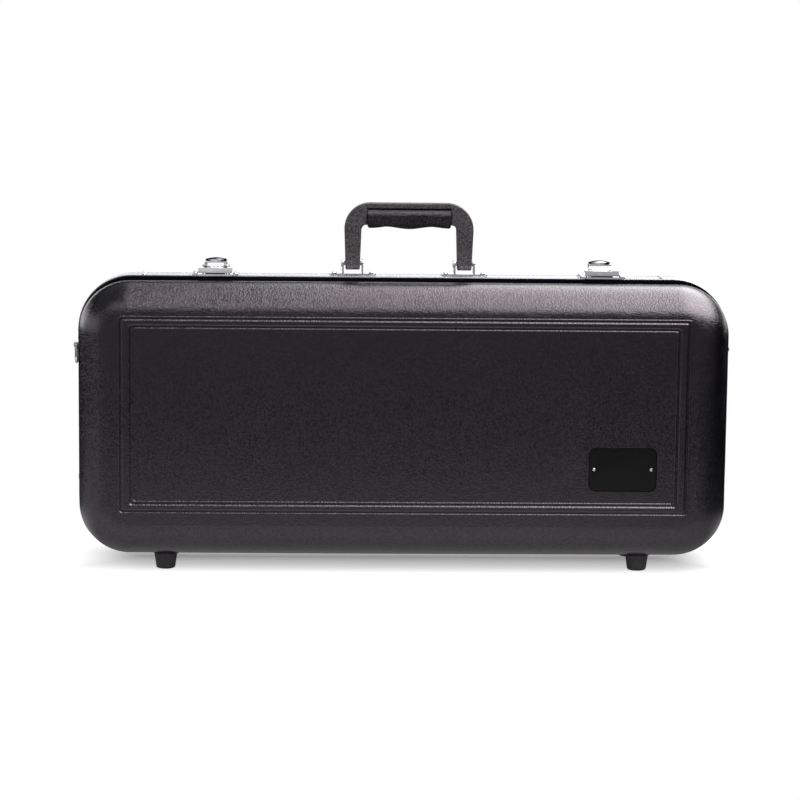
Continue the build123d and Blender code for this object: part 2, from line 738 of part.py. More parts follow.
with BuildPart() as lever_boss:
    boss_y = latch_pivot_y + boss_offset
    boss_low = valance_top + lever_height - lever_wall / 2
    boss_top = valance_top + lever_height + boss_side + boss_dome
    dome_radius = (boss_radius**2 + boss_dome**2) / (2 * boss_dome)
    with Locations((0, boss_y, boss_low)):
        Cylinder(boss_radius, boss_top - boss_low, align=(Align.CENTER, Align.CENTER, Align.MIN))
    with Locations((0, boss_y, boss_top - dome_radius)):
        Sphere(dome_radius, mode=Mode.INTERSECT)

with BuildPart() as latch_lever:
    web_low = valance_top + lever_height - lever_wall
    with BuildSketch(Plane.XY.offset(web_low)) as plan:
        with BuildLine():
            start = latch_pivot_y + lever_setback
            finish = latch_pivot_y + lever_tip
            Polyline((-lever_half_width, start), (lever_half_width, start),
                     (lever_half_width, finish), (-lever_half_width, finish), close=True)
        make_face()
        fillet(plan.vertices().group_by(Axis.Y)[-1], lever_tip_round)
    extrude(amount=lever_wall)
    with BuildSketch(Plane.YZ) as flange:
        with BuildLine():
            Polyline((start, web_low + lever_wall), (start, latch_pivot_z),
                     (latch_pivot_y, latch_pivot_z - latch_ear_round),
                     (hook_pivot_y, hook_pivot_z - lever_eye_round),
                     (hook_pivot_y + lever_eye_round, hook_pivot_z),
                     (finish - lever_tip_round, web_low), (finish - lever_tip_round, web_low + lever_wall),
                     close=True)
        make_face()
        with Locations((latch_pivot_y, latch_pivot_z)):
            Circle(latch_ear_round)
        with Locations((hook_pivot_y, hook_pivot_z)):
            Circle(lever_eye_round)
    cheeks(flange.sketch, lever_half_width - lever_wall, lever_wall)
    add(lever_boss.part)
    bore_x(latch_pivot_y, latch_pivot_z, latch_pin_radius + hole_gap)
    bore_x(hook_pivot_y, hook_pivot_z, hook_pin_radius)

with BuildPart() as latch_hook:
    hook_top = valance_top + hook_height
    claw_front = -keeper_lip_y - hardware_gap - hook_plate
    with BuildSketch(Plane.XY.offset(hook_top - hook_plate)) as plan:
        with Locations((0, (claw_front + hook_back) / 2)):
            Rectangle(2 * hook_half_width, hook_back - claw_front)
        fillet(plan.vertices().group_by(Axis.Y)[-1], hook_plate)
    extrude(amount=hook_plate)
    with BuildSketch(Plane.XZ.offset(-claw_front)) as claw:
        with BuildLine():
            claw_low = valance_top + latch_plate + hook_claw_gap
            Polyline((-hook_half_width, hook_top), (hook_half_width, hook_top),
                     (hook_half_width, claw_low), (-hook_half_width, claw_low), close=True)
        make_face()
        fillet(claw.vertices().group_by(Axis.Y)[0], hook_plate)
    extrude(claw.sketch, amount=-hook_plate)
    with BuildSketch(Plane.YZ) as arm:
        with BuildLine():
            arm_low = valance_top + hook_arm_low
            Polyline((-hook_skirt_front, hook_top), (hook_pivot_y, hook_top), (hook_pivot_y, arm_low),
                     (-hook_skirt_front, arm_low), close=True)
        make_face()
        with Locations((hook_pivot_y, hook_pivot_z)):
            Circle(lever_eye_round)
    cheeks(arm.sketch, arm_inner, hook_plate)
    bore_x(hook_pivot_y, hook_pivot_z, hook_pin_radius + hole_gap)

with BuildPart() as latch_keeper:
    skirt_front = -valance_width - keeper_front_gap - latch_plate
    with BuildSketch(Plane.XY.offset(valance_top)) as plan:
        with Locations((0, -(valance_width + latch_plate_start) / 2)):
            Rectangle(latch_length, valance_width - latch_plate_start)
        fillet(plan.vertices().group_by(Axis.Y)[0], 2 * latch_plate)
        with Locations((0, skirt_front / 2)):
            Rectangle(2 * keeper_skirt_half_width, -skirt_front - 2 * latch_plate_start)
        with Locations(*[(x, -rivet_line) for x in latch_rivet_xs]):
            Circle(rivet_radius + hole_gap, mode=Mode.SUBTRACT)
    extrude(amount=latch_plate)
    with BuildSketch(Plane.XZ.offset(-skirt_front)) as skirt:
        with Locations((0, valance_top + (latch_plate - keeper_skirt_drop) / 2)):
            Rectangle(2 * keeper_skirt_half_width, latch_plate + keeper_skirt_drop)
        fillet(skirt.vertices().group_by(Axis.Y)[0], keeper_skirt_round)
    extrude(skirt.sketch, amount=-latch_plate)
    with BuildSketch(Plane.XZ.offset(keeper_lip_y)) as lip:
        with Locations((0, valance_top + keeper_lip_height / 2)):
            Rectangle(2 * keeper_lip_half_width, keeper_lip_height)
        fillet(lip.vertices().group_by(Axis.Y)[-1], latch_plate)
    extrude(lip.sketch, amount=-latch_plate)


def headed_pin(y, z, radius, head_radius, half_span):
    with BuildPart() as pin:
        with Locations((0, y, z)):
            Cylinder(radius, 2 * half_span, rotation=(0, 90, 0))
        for side, align in ((-1, Align.MAX), (1, Align.MIN)):
            with Locations((side * half_span, y, z)):
                Cylinder(head_radius, pin_head_height, rotation=(0, 90, 0),
                         align=(Align.CENTER, Align.CENTER, align))
    return pin.part


latch_pivot_pin = headed_pin(latch_pivot_y, latch_pivot_z, latch_pin_radius, latch_pin_head,
                             lever_half_width)
hook_pin = headed_pin(hook_pivot_y, hook_pivot_z, hook_pin_radius, hook_pin_head, arm_outer)

for side, x in latch_centres.items():
    place = Location((x, 0, 0))
    save(f"latch_base_{side}", latch_base.part.moved(place))
    save(f"latch_lever_{side}", latch_lever.part.moved(place))
    save(f"latch_hook_{side}", latch_hook.part.moved(place))
    save(f"latch_keeper_{side}", latch_keeper.part.moved(place))
    save(f"latch_pivot_pin_{side}", latch_pivot_pin.moved(place))
    save(f"latch_hook_pin_{side}", hook_pin.moved(place))
save("latch_base_rivets", rivet_group(latch_sites, latch_plate))
save("latch_keeper_rivets", rivet_group(keeper_sites, latch_plate))

# Feet: tapered rubber feet, screwed up into bosses in the shell.

with BuildPart() as foot:
    with BuildSketch(Plane.XZ) as profile:
        with BuildLine():
            Polyline((0, 0), (foot_bottom_radius, 0), (foot_top_radius, foot_height), (0, foot_height),
                     close=True)
        make_face()
        fillet(profile.vertices().sort_by_distance((foot_bottom_radius, 0))[0], foot_edge)
    revolve(profile.sketch, axis=Axis.Z)
    Cylinder(foot_recess_radius, 2 * foot_recess_depth, mode=Mode.SUBTRACT)
    Cylinder(screw_radius + hole_gap, 3 * foot_height, mode=Mode.SUBTRACT)

with BuildPart() as foot_screw:
    screw_top = rim_floor - body_step + shell_wall + foot_boss_height
    with Locations((0, 0, foot_recess_depth)):
        Cylinder(screw_head_radius, screw_head_height, align=(Align.CENTER, Align.CENTER, Align.MAX))
        Cylinder(screw_radius, screw_top - foot_recess_depth, align=(Align.CENTER, Align.CENTER, Align.MIN))
    lowest = foot_screw.edges().filter_by(GeomType.CIRCLE).sort_by(Axis.Z)[0]
    fillet(lowest, screw_head_height * head_rounding)

for half_name, y in (("base", foot_y), ("lid", -foot_y)):
    with BuildPart() as screws:
        with Locations(*foot_positions(y)):
            add(foot_screw.part)
    save(f"{half_name}_foot_screws", screws.part)
    for side, (x, foot_line) in zip(("left", "right"), foot_positions(y)):
        save(f"{half_name}_foot_{side}", foot.part.moved(Location((x, foot_line, 0))))

# Strap rings: a riveted strap with a rolled eye on each end of the base, and a D ring through it.

eye_x = strap_plate + strap_eye_radius - hardware_gap
with BuildPart() as strap_bracket:
    with BuildSketch(Plane.YZ) as face:
        with Locations((rivet_line, strap_z + strap_plate_height / 2)):
            Rectangle(strap_plate_width, strap_plate_height)
        fillet(face.vertices().group_by(Axis.Y)[-1], strap_plate_width / 4)
        with Locations((rivet_line, strap_z)):
            Rectangle(strap_eye_length, 2 * strap_eye_radius)
        with Locations(*[(rivet_line, z) for z in strap_rivet_z]):
            Circle(rivet_radius + hole_gap, mode=Mode.SUBTRACT)
    extrude(face.sketch, amount=strap_plate)
    with Locations((eye_x, rivet_line, strap_z)):
        Cylinder(strap_eye_radius, strap_eye_length, rotation=(90, 0, 0))
        Cylinder(ring_wire_radius + ring_gap, 2 * strap_eye_length, rotation=(90, 0, 0),
                 mode=Mode.SUBTRACT)

with BuildPart() as strap_ring:
    bend = ring_width / 2
    bend_z = strap_z - ring_drop + bend
    ring_legs = [(eye_x, rivet_line - bend), (eye_x, rivet_line + bend)]
    with BuildSketch(Plane.XY.offset(bend_z)) as legs:
        with Locations(*ring_legs):
            Circle(ring_wire_radius)
    extrude(legs.sketch, amount=strap_z - bend_z)
    with BuildSketch(Plane.XY.offset(bend_z)) as bow:
        with Locations(ring_legs[1]):
            Circle(ring_wire_radius)
    revolve(bow.sketch, axis=Axis((eye_x, rivet_line, bend_z), (-1, 0, 0)), revolution_arc=180)
    with Locations(*[(x, y, strap_z) for x, y in ring_legs]):
        Sphere(ring_wire_radius)
    with Locations((eye_x, rivet_line, strap_z)):
        Cylinder(ring_wire_radius, ring_width, rotation=(90, 0, 0))

for side, sign in end_signs.items():
    turn = Location((end_x, 0, 0))
    for name, piece in (("bracket", strap_bracket.part), ("ring", strap_ring.part)):
        placed = piece.moved(turn)
        if sign < 0:
            placed = placed.mirror(Plane.YZ)
        save(f"strap_{name}_{side}", placed)
save("strap_rivets", rivet_group(strap_sites, strap_plate))

# Lining: a plush insert with the trumpet's pocket in the base, a holder for mouthpieces, a lid pad.

bell_x = bell_inset - end_x
bell_z = case_mid + bell_axis_rise
holder_x = bell_x + mouthpiece_place
holder_z = case_mid - mouthpiece_drop
insert_depth = inner_face_y - insert_start
pocket_depth = insert_depth - insert_floor


def pocket(left, right, low, high):
    """Rounded pocket outline between two places along the case and two heights."""
    with Locations(((left + right) / 2, case_mid + (low + high) / 2)):
        RectangleRounded(right - left, high - low, pocket_round)


with BuildPart() as base_insert:
    add(half_form(-insert_start, -inner_face_y, -insert_gap, insert_edge_round))
    with BuildSketch(Plane.XZ.offset(-insert_start)) as bell:
        with BuildLine():
            for sign in (1, -1):
                rim_z = bell_z + sign * bell_half_height
                throat_z = bell_z + sign * bell_throat
                Line((bell_x, rim_z), (bell_x + bell_rim, rim_z))
                ThreePointArc((bell_x + bell_rim, rim_z),
                              (bell_x + bell_bend, bell_z + sign * bell_bend_half_height),
                              (bell_x + bell_end, throat_z))
                Line((bell_x + bell_end, throat_z), (bell_x + tray_right, throat_z))
            Line((bell_x, bell_z - bell_half_height), (bell_x, bell_z + bell_half_height))
            Line((bell_x + tray_right, bell_z - bell_throat), (bell_x + tray_right, bell_z + bell_throat))
        make_face()
        pocket(bell_x + wrap_left, bell_x + wrap_right, -wrap_bottom, wrap_top)
        pocket(bell_x + valve_left, bell_x + valve_right, -valve_half_height, valve_half_height)
    extrude(bell.sketch, amount=-pocket_depth, mode=Mode.SUBTRACT)
    with BuildSketch(Plane.XZ.offset(-insert_start)) as trays:
        pocket(bell_x + tray_left, bell_x + tray_right, tray_low, tray_high)
        pocket(bell_x + valve_right + tray_gap, end_x - side_tray_inset, tray_low, tray_high)
    extrude(trays.sketch, amount=-tray_depth, mode=Mode.SUBTRACT)
    with BuildSketch(Plane.XZ.offset(-insert_start)) as holder_seat:
        with Locations((holder_x, holder_z)):
            RectangleRounded(*grown((holder_length, holder_height), holder_gap), holder_round + holder_gap)
    extrude(holder_seat.sketch, amount=-holder_depth, mode=Mode.SUBTRACT)
save("base_insert", base_insert.part)

sockets = [(holder_x + side * mouthpiece_pitch / 2, holder_z) for side in (-1, 1)]


def socket_outline(radius):
    with BuildSketch(Plane.XZ.offset(-insert_start)) as profile:
        with Locations(*sockets):
            Circle(radius)
    return profile.sketch


with BuildPart() as mouthpiece_holder:
    with BuildSketch(Plane.XZ.offset(-insert_start)) as block:
        with Locations((holder_x, holder_z)):
            RectangleRounded(holder_length, holder_height, holder_round)
    extrude(block.sketch, amount=-holder_depth)
    extrude(socket_outline(mouthpiece_bore), amount=holder_floor - holder_depth, mode=Mode.SUBTRACT)
    extrude(socket_outline(mouthpiece_cup), amount=-mouthpiece_cup_depth, mode=Mode.SUBTRACT)
save("mouthpiece_holder", mouthpiece_holder.part)

with BuildPart() as lid_pad:
    pad_u = -shoulder_radius - lid_pad_gap
    extrude(outline(inner_face_y - lid_pad_thickness, pad_u), amount=lid_pad_thickness)
    fillet(lid_pad.faces().sort_by(Axis.Y)[-1].edges(), lid_pad_round)
save("lid_pad", lid_pad.part)
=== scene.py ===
import json
import math

import bpy
from mathutils import Matrix, Vector, noise


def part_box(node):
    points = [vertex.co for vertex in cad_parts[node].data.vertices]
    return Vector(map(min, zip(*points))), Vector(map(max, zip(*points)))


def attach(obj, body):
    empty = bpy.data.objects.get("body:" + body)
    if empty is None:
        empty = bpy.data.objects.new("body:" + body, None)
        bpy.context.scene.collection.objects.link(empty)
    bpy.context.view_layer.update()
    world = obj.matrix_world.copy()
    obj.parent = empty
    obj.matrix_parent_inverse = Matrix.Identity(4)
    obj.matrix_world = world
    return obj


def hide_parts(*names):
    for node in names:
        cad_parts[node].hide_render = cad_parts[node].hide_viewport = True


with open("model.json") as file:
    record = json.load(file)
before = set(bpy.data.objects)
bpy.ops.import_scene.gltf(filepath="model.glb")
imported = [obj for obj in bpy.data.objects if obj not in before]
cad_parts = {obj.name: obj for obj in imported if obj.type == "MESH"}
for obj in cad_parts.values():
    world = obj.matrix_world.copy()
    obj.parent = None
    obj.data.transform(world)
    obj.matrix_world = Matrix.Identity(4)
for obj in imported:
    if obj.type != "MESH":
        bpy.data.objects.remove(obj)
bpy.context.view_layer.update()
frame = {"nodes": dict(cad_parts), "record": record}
nodes = frame["nodes"]

MM = 0.001
WHITE = (1, 1, 1, 1)
RISE, FALL = (0.0, 1.0), (1.0, 0.0)

# ---------------------------------------------------------------- camera

PHOTO_SIDE = 800
FOCAL_PIXELS = 2575.7
SENSOR = 36.0
CAMERA_REACH = 50.0
CAMERA_DISTANCE = 2.3672
CAMERA_ELEVATION = math.radians(7.56)
CAMERA_YAW = math.radians(1.977)
CAMERA_ROLL = math.radians(0.637)
CAMERA_TARGET = Vector((-0.00215, 0.0, 0.15054))


def place_camera():
    """The camera of the photograph, a little left of the middle and slightly above."""
    data = bpy.data.cameras.new("camera")
    data.sensor_width = SENSOR
    data.lens = SENSOR * FOCAL_PIXELS / PHOTO_SIDE
    data.clip_end = CAMERA_REACH
    camera = bpy.data.objects.new("camera", data)
    bpy.context.scene.collection.objects.link(camera)
    flat = math.cos(CAMERA_ELEVATION)
    down = -math.sin(CAMERA_ELEVATION)
    ahead = Vector((math.sin(CAMERA_YAW) * flat, math.cos(CAMERA_YAW) * flat, down))
    right = ahead.cross(Vector((0, 0, 1))).normalized()
    up = right.cross(ahead)
    tilted_right = right * math.cos(CAMERA_ROLL) + up * math.sin(CAMERA_ROLL)
    tilted_up = up * math.cos(CAMERA_ROLL) - right * math.sin(CAMERA_ROLL)
    turn = Matrix((tilted_right, tilted_up, -ahead)).transposed().to_4x4()
    camera.matrix_world = Matrix.Translation(CAMERA_TARGET - ahead * CAMERA_DISTANCE) @ turn
    bpy.context.scene.camera = camera


place_camera()

# ---------------------------------------------------------------- node helpers

NOISE_SPAN = (0.3, 0.7)      # most values of a noise texture lie between these
OPEN_SPAN = (0.25, 0.85)     # the share of the room seen, from a deep crevice to an open face
CREVICE_SAMPLES = 8


class Wiring:
    """A node tree, emptied, and short helpers for the numbers and shaders in it."""

    def __init__(self, tree):
        self.tree = tree
        tree.nodes.clear()

    def join(self, out, into):
        self.tree.links.new(out, into)

    def node(self, kind, inputs=(), **settings):
        """A new node. Each input is either joined to an output or set to a plain value."""
        made = self.tree.nodes.new("ShaderNode" + kind)
        for setting, value in settings.items():
            setattr(made, setting, value)
        for socket, value in dict(inputs).items():
            if isinstance(value, bpy.types.NodeSocket):
                self.join(value, made.inputs[socket])
            else:
                made.inputs[socket].default_value = value
        return made

    def calc(self, operation, first, second=0.0):
        return self.node("Math", {0: first, 1: second}, operation=operation).outputs[0]

    def total(self, first, *others):
        for other in others:
            first = self.calc("ADD", first, other)
        return first

    def product(self, first, *others):
        for other in others:
            first = self.calc("MULTIPLY", first, other)
        return first

    def ramp(self, value, span, levels, kind="LINEAR"):
        """Goes from one level to the other as the value crosses the span, and no further."""
        inputs = {"Value": value, "From Min": span[0], "From Max": span[1],
                  "To Min": levels[0], "To Max": levels[1]}
        return self.node("MapRange", inputs, interpolation_type=kind).outputs[0]

    def ease(self, value, span, levels):
        """A ramp with soft ends."""
        return self.ramp(value, span, levels, "SMOOTHSTEP")

    def xyz(self, vector):
        return self.node("SeparateXYZ", {0: vector}).outputs

    def mix(self, share, first, second):
        """Turns from the first shader into the second as the share goes from 0 to 1."""
        return self.node("MixShader", {0: share, 1: first, 2: second}).outputs[0]


class Look(Wiring):
    """A material: a Principled shader with textures in object coordinates, in metres."""

    def __init__(self, name, **inputs):
        self.material = bpy.data.materials.new(name)
        self.material.use_nodes = True
        super().__init__(self.material.node_tree)
        plain = {socket.replace("_", " "): value for socket, value in inputs.items()}
        self.shader = self.node("BsdfPrincipled", plain)
        self.node("OutputMaterial", {0: self.shader.outputs[0]})
        self.place = self.node("TexCoord").outputs["Object"]

    def stretched(self, scale):
        return self.node("Mapping", {"Vector": self.place, "Scale": scale}).outputs[0]

    def scaled(self, vector, factor):
        inputs = {0: vector, "Scale": factor}
        return self.node("VectorMath", inputs, operation="SCALE").outputs[0]

    def noise(self, rate, detail=3.0, roughness=0.55, place=None):
        inputs = {"Vector": place or self.place, "Scale": rate, "Detail": detail,
                  "Roughness": roughness}
        return self.node("TexNoise", inputs).outputs["Fac"]

    def cells(self, rate, place):
        """The distance to the middle of the nearest cell, in sizes of a cell."""
        return self.node("TexVoronoi", {"Vector": place, "Scale": rate}).outputs["Distance"]

    def blend(self, first, second, share=0.5):
        """The sum of two values, the first with this share and the second with the rest."""
        return self.total(self.product(first, share), self.product(second, 1 - share))

    def tint(self, value, dark, light, span, shade=None):
        """Base colour from dark to light as the value crosses the span, times a shade."""
        made = self.node("ValToRGB", {"Fac": value})
        for end, position, tone in zip(made.color_ramp.elements, span, (dark, light)):
            end.position = position
            end.color = (*tone, 1)
        colour = made.outputs[0]
        if shade is not None:
            colour = self.scaled(colour, shade)
        self.join(colour, self.shader.inputs["Base Color"])

    def off_middle(self, span, levels):
        """A ramp over the distance from the parting plane."""
        return self.ramp(self.calc("ABSOLUTE", self.xyz(self.place)[1]), span, levels)

    def painted_crevice_shade(self, reach, deepest):
        """Painted shade: 1 in the open, falling to the deepest level in a gap of about this reach.
        """
        sight = self.node("AmbientOcclusion", {"Distance": reach}, samples=CREVICE_SAMPLES)
        return self.ramp(sight.outputs["AO"], OPEN_SPAN, (deepest, 1.0))

    def rough(self, value, levels):
        self.join(self.ramp(value, NOISE_SPAN, levels), self.shader.inputs["Roughness"])

    def bump(self, height, distance, strength=1.0, over=None):
        """Relief of a height in metres, on top of another relief where there is one."""
        inputs = {"Height": height, "Distance": distance, "Strength": strength}
        if over is not None:
            inputs["Normal"] = over
        relief = self.node("Bump", inputs).outputs[0]
        self.join(relief, self.shader.inputs["Normal"])
        return relief


# ---------------------------------------------------------------- materials

# The pebbles are coarse and fine cells whose places are bent by a slow noise.
BEND_RATE = 0.35             # per size of a grain, as FINE_RATE is
BEND_DETAIL = 2.0
BEND_REACH = 0.9             # in sizes of a grain
FINE_RATE = 2.3
COARSE_SHARE = 0.75
CREASE_SPAN = (0.1, 0.65)    # from the top of a pebble to the bottom of a crease
# Painted shade: in gaps of about this size the shine falls to this share.
PLASTIC_CREVICE = 2.5 * MM
PLASTIC_CREVICE_SHINE = 0.2
SMEAR_RATE, SMEAR_DETAIL = 45.0, 4.0
MOTTLE_RATE, MOTTLE_SPAN = 12.0, (0.3, 0.75)


def moulded_plastic(name, dark, light, grain, depth, rough, level, tint=(1.0, 1.0, 1.0),
                    spark=0.2, painted_shade_span=None):
    """Moulded plastic with pebbles of one size and depth. By the spark, their tops are shinier
    than the creases. Its shine drops in narrow gaps as painted shade, and nearer to the parting
    plane than the painted shade span it doesn't shine: a painted shade band along the rim."""
    look = Look(name, Specular_Tint=(*tint, 1))
    bend_inputs = {"Vector": look.place, "Scale": BEND_RATE / grain, "Detail": BEND_DETAIL}
    bend = look.node("TexNoise", bend_inputs).outputs["Color"]
    offset = look.scaled(bend, grain * BEND_REACH)
    bent = look.node("VectorMath", {0: look.place, 1: offset}, operation="ADD").outputs[0]
    coarse = look.cells(1 / grain, bent)
    fine = look.cells(FINE_RATE / grain, bent)
    height = look.ramp(look.blend(coarse, fine, COARSE_SHARE), CREASE_SPAN, FALL)
    look.bump(height, depth)
    # Painted shade: the shine falls in narrow gaps.
    shine = look.product(look.ramp(height, RISE, (level * (1 - spark), level * (1 + spark))),
                         look.painted_crevice_shade(PLASTIC_CREVICE, PLASTIC_CREVICE_SHINE))
    # Painted shade: no shine in a band along the rim.
    if painted_shade_span:
        shine = look.product(shine, look.off_middle(painted_shade_span, RISE))
    look.join(shine, look.shader.inputs["Specular IOR Level"])
    look.rough(look.noise(SMEAR_RATE, SMEAR_DETAIL), rough)
    look.tint(look.blend(look.noise(MOTTLE_RATE), height), dark, light, MOTTLE_SPAN)
    return look.material


BRUSH_DETAIL, BRUSH_ROUGHNESS = 4.0, 0.6
BRUSH_STRENGTH = 0.5
WEAR_SPAN = (0.35, 0.6)
# Painted shade: in gaps of about this size the colour falls to this share.
METAL_CREVICE = 4 * MM
METAL_CREVICE_SHADE = 0.08
# Painted shade on the rim's edge: this wide beyond the lip, down to this share.
LIP_EDGE = 0.4 * MM
LIP_SHADE = 0.22


def metal(name, dark, light, rough, brush, depth, smudge=30.0, lip=None):
    """Metal with brushing stretched by three scales and smudges of one rate. Its colour carries
    painted shade in narrow gaps, and painted shade on the edge further from the parting plane
    than the lip."""
    look = Look(name, Metallic=1.0)
    lines = look.noise(1.0, BRUSH_DETAIL, BRUSH_ROUGHNESS, look.stretched(brush))
    haze = look.noise(smudge, BRUSH_DETAIL)
    # Painted shade in narrow gaps.
    shade = look.painted_crevice_shade(METAL_CREVICE, METAL_CREVICE_SHADE)
    # Painted shade on the rim's edge beyond the lip.
    if lip:
        painted_edge_shade = look.off_middle((lip, lip + LIP_EDGE), (1.0, LIP_SHADE))
        shade = look.product(shade, painted_edge_shade)
    look.tint(look.blend(lines, haze), dark, light, WEAR_SPAN, shade)
    look.rough(haze, rough)
    look.bump(lines, depth, BRUSH_STRENGTH)
    return look.material


SHEEN_TINT = (0.62, 0.62, 0.7, 1)
TUFT_DETAIL, TUFT_ROUGHNESS = 5.0, 0.7
TUFT_HEIGHT, TUFT_STRENGTH = 1.1 * MM, 0.9
NAP_RATE, NAP_DETAIL, NAP_ROUGHNESS = 26.0, 4.0, 0.6
NAP_STRETCH = (1.0, 0.4, 1.6)
NAP_HEIGHT, NAP_STRENGTH = 1.2 * MM, 0.6
PILE_SPAN = (0.36, 0.62)


def plush(name, dark, light, pile):
    """Short dense pile: soft tufts, a brushed nap and a sheen."""
    look = Look(name, Roughness=0.95, Sheen_Weight=0.55, Sheen_Roughness=0.45,
                Sheen_Tint=SHEEN_TINT, Specular_IOR_Level=0.15)
    tufts = look.noise(1 / pile, TUFT_DETAIL, TUFT_ROUGHNESS)
    nap = look.noise(NAP_RATE, NAP_DETAIL, NAP_ROUGHNESS, look.stretched(NAP_STRETCH))
    look.tint(look.blend(tufts, nap), dark, light, PILE_SPAN)
    brushed = look.bump(nap, NAP_HEIGHT, NAP_STRENGTH)
    look.bump(tufts, TUFT_HEIGHT, TUFT_STRENGTH, over=brushed)
    return look.material


PLASTICS = {
    "case_plastic": dict(
        dark=(0.0018, 0.0020, 0.0038), light=(0.0066, 0.0066, 0.0098), grain=1.6 * MM,
        depth=0.11 * MM, rough=(0.20, 0.26), level=0.5, tint=(1.0, 0.87, 0.95), spark=0.22,
        # painted shade band along the rim
        painted_shade_span=(42 * MM, 52 * MM)),
    "handle_plastic": dict(
        dark=(0.048, 0.042, 0.046), light=(0.155, 0.138, 0.152), grain=1.5 * MM,
        depth=0.16 * MM, rough=(0.42, 0.55), level=0.3, tint=(1.0, 0.92, 1.0), spark=0.4),
    "grip_rubber": dict(
        dark=(0.003, 0.0027, 0.0035), light=(0.016, 0.0145, 0.018), grain=1.5 * MM,
        depth=0.16 * MM, rough=(0.34, 0.46), level=0.28, tint=(1.0, 0.90, 1.0), spark=0.4),
    "nameplate_plastic": dict(
        dark=(0.004, 0.004, 0.0045), light=(0.007, 0.0068, 0.0075), grain=0.4 * MM,
        depth=0.006 * MM, rough=(0.16, 0.26), level=0.16),
    "foot_rubber": dict(
        dark=(0.036, 0.033, 0.034), light=(0.060, 0.055, 0.057), grain=0.5 * MM,
        depth=0.03 * MM, rough=(0.55, 0.72), level=0.4),
    "holder_plastic": dict(
        dark=(0.012, 0.012, 0.013), light=(0.02, 0.02, 0.021), grain=0.6 * MM,
        depth=0.04 * MM, rough=(0.42, 0.56), level=0.45),
}
METALS = {
    "valance_aluminium": dict(
        dark=(0.60, 0.60, 0.62), light=(0.70, 0.70, 0.71), rough=(0.22, 0.3),
        # the lip: painted shade on the edge beyond it
        brush=(6.0, 900.0, 900.0), depth=0.01 * MM, lip=11 * MM),
    "hardware_chrome": dict(
        dark=(0.38, 0.38, 0.41), light=(0.52, 0.52, 0.54), rough=(0.03, 0.10),
        brush=(60.0, 500.0, 500.0), depth=0.005 * MM, smudge=55.0),
    "rivet_steel": dict(
        dark=(0.56, 0.56, 0.58), light=(0.72, 0.72, 0.74), rough=(0.14, 0.3),
        brush=(400.0, 400.0, 400.0), depth=0.01 * MM, smudge=220.0),
}
PLUSHES = {
    "plush_lining": dict(
        dark=(0.011, 0.011, 0.014), light=(0.032, 0.032, 0.039), pile=0.9 * MM),
}

looks = {}
for kind, recipes in ((moulded_plastic, PLASTICS), (metal, METALS), (plush, PLUSHES)):
    for material_slot, recipe in recipes.items():
        looks[material_slot] = kind(material_slot, **recipe)
slot_of = {row["node"]: row["material_slot"] for row in frame["record"]["subparts"]}
for name, piece in nodes.items():
    piece.data.materials.clear()
    piece.data.materials.append(looks[slot_of[name]])

# ---------------------------------------------------------------- soft lining

SMOOTHING = 0.5
PUFF_FRAMES = 20


def settle(piece):
    """Leaves the piece with the mesh that its modifiers make, and without them."""
    graph = bpy.context.evaluated_depsgraph_get()
    mesh = bpy.data.meshes.new_from_object(piece.evaluated_get(graph))
    piece.modifiers.clear()
    piece.data = mesh


def soft_copy(name, node, voxel, rounds):
    """A copy of a CAD piece with an even mesh of the given voxel size, smoothed a number of
    times, in the row frame."""
    mesh = nodes[node].data.copy()
    mesh.transform(nodes[node].matrix_world)
    piece = bpy.data.objects.new(name, mesh)
    bpy.context.scene.collection.objects.link(piece)
    remesh = piece.modifiers.new("remesh", "REMESH")
    remesh.mode = "VOXEL"
    remesh.voxel_size = voxel
    settle(piece)
    smooth = piece.modifiers.new("smooth", "SMOOTH")
    smooth.factor = SMOOTHING
    smooth.iterations = rounds
    settle(piece)
    return piece


def puff(piece, pressure, cap):
    """Blows the cover of a pad out by cloth simulation, no point further than the cap."""
    start = [vertex.co.copy() for vertex in piece.data.vertices]
    cloth = piece.modifiers.new("cloth", "CLOTH")
    cloth.settings.use_pressure = True
    cloth.settings.uniform_pressure_force = pressure
    cloth.settings.effector_weights.gravity = 0.0
    cloth.collision_settings.use_collision = False
    scene = bpy.context.scene
    for frame_number in range(1, PUFF_FRAMES + 1):
        scene.frame_set(frame_number)
    settle(piece)
    scene.frame_set(1)
    for vertex, place in zip(piece.data.vertices, start):
        moved = vertex.co - place
        if moved.length > cap:
            vertex.co = place + moved * (cap / moved.length)


def finish_soft(piece, material_slot, body, node):
    """Rounds a soft piece off, dresses it, hangs it on its body and hides the CAD piece that it
    stands for.
    """
    piece.data.materials.clear()
    piece.data.materials.append(looks[material_slot])
    for face in piece.data.polygons:
        face.use_smooth = True
    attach(piece, body)
    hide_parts(node)


INSERT_VOXEL, INSERT_ROUNDS = 3 * MM, 8
SWELLS = ((34 * MM, 0.5 * MM), (9 * MM, 0.25 * MM))      # lengths and heights
SINK = 0.2 * MM


def make_insert():
    """The foam insert: the moulded block with its edges softened by the plush cover, which
    swells a little here and there."""
    piece = soft_copy("plush_insert", "base_insert", INSERT_VOXEL, INSERT_ROUNDS)
    normals = [vertex.normal.copy() for vertex in piece.data.vertices]
    for vertex, normal in zip(piece.data.vertices, normals):
        swell = sum(noise.noise(vertex.co / length) * height for length, height in SWELLS)
        vertex.co += normal * (swell - SINK)
    finish_soft(piece, "plush_lining", "base", "base_insert")


PAD_VOXEL, PAD_ROUNDS = 4 * MM, 3
PAD_PRESSURE, PAD_CAP = 4.0, 6 * MM
BORDER = 17 * MM             # from the edge of the pad to its seam
SEAM_WIDTH, SEAM_DEPTH = 2.6 * MM, 2.2 * MM


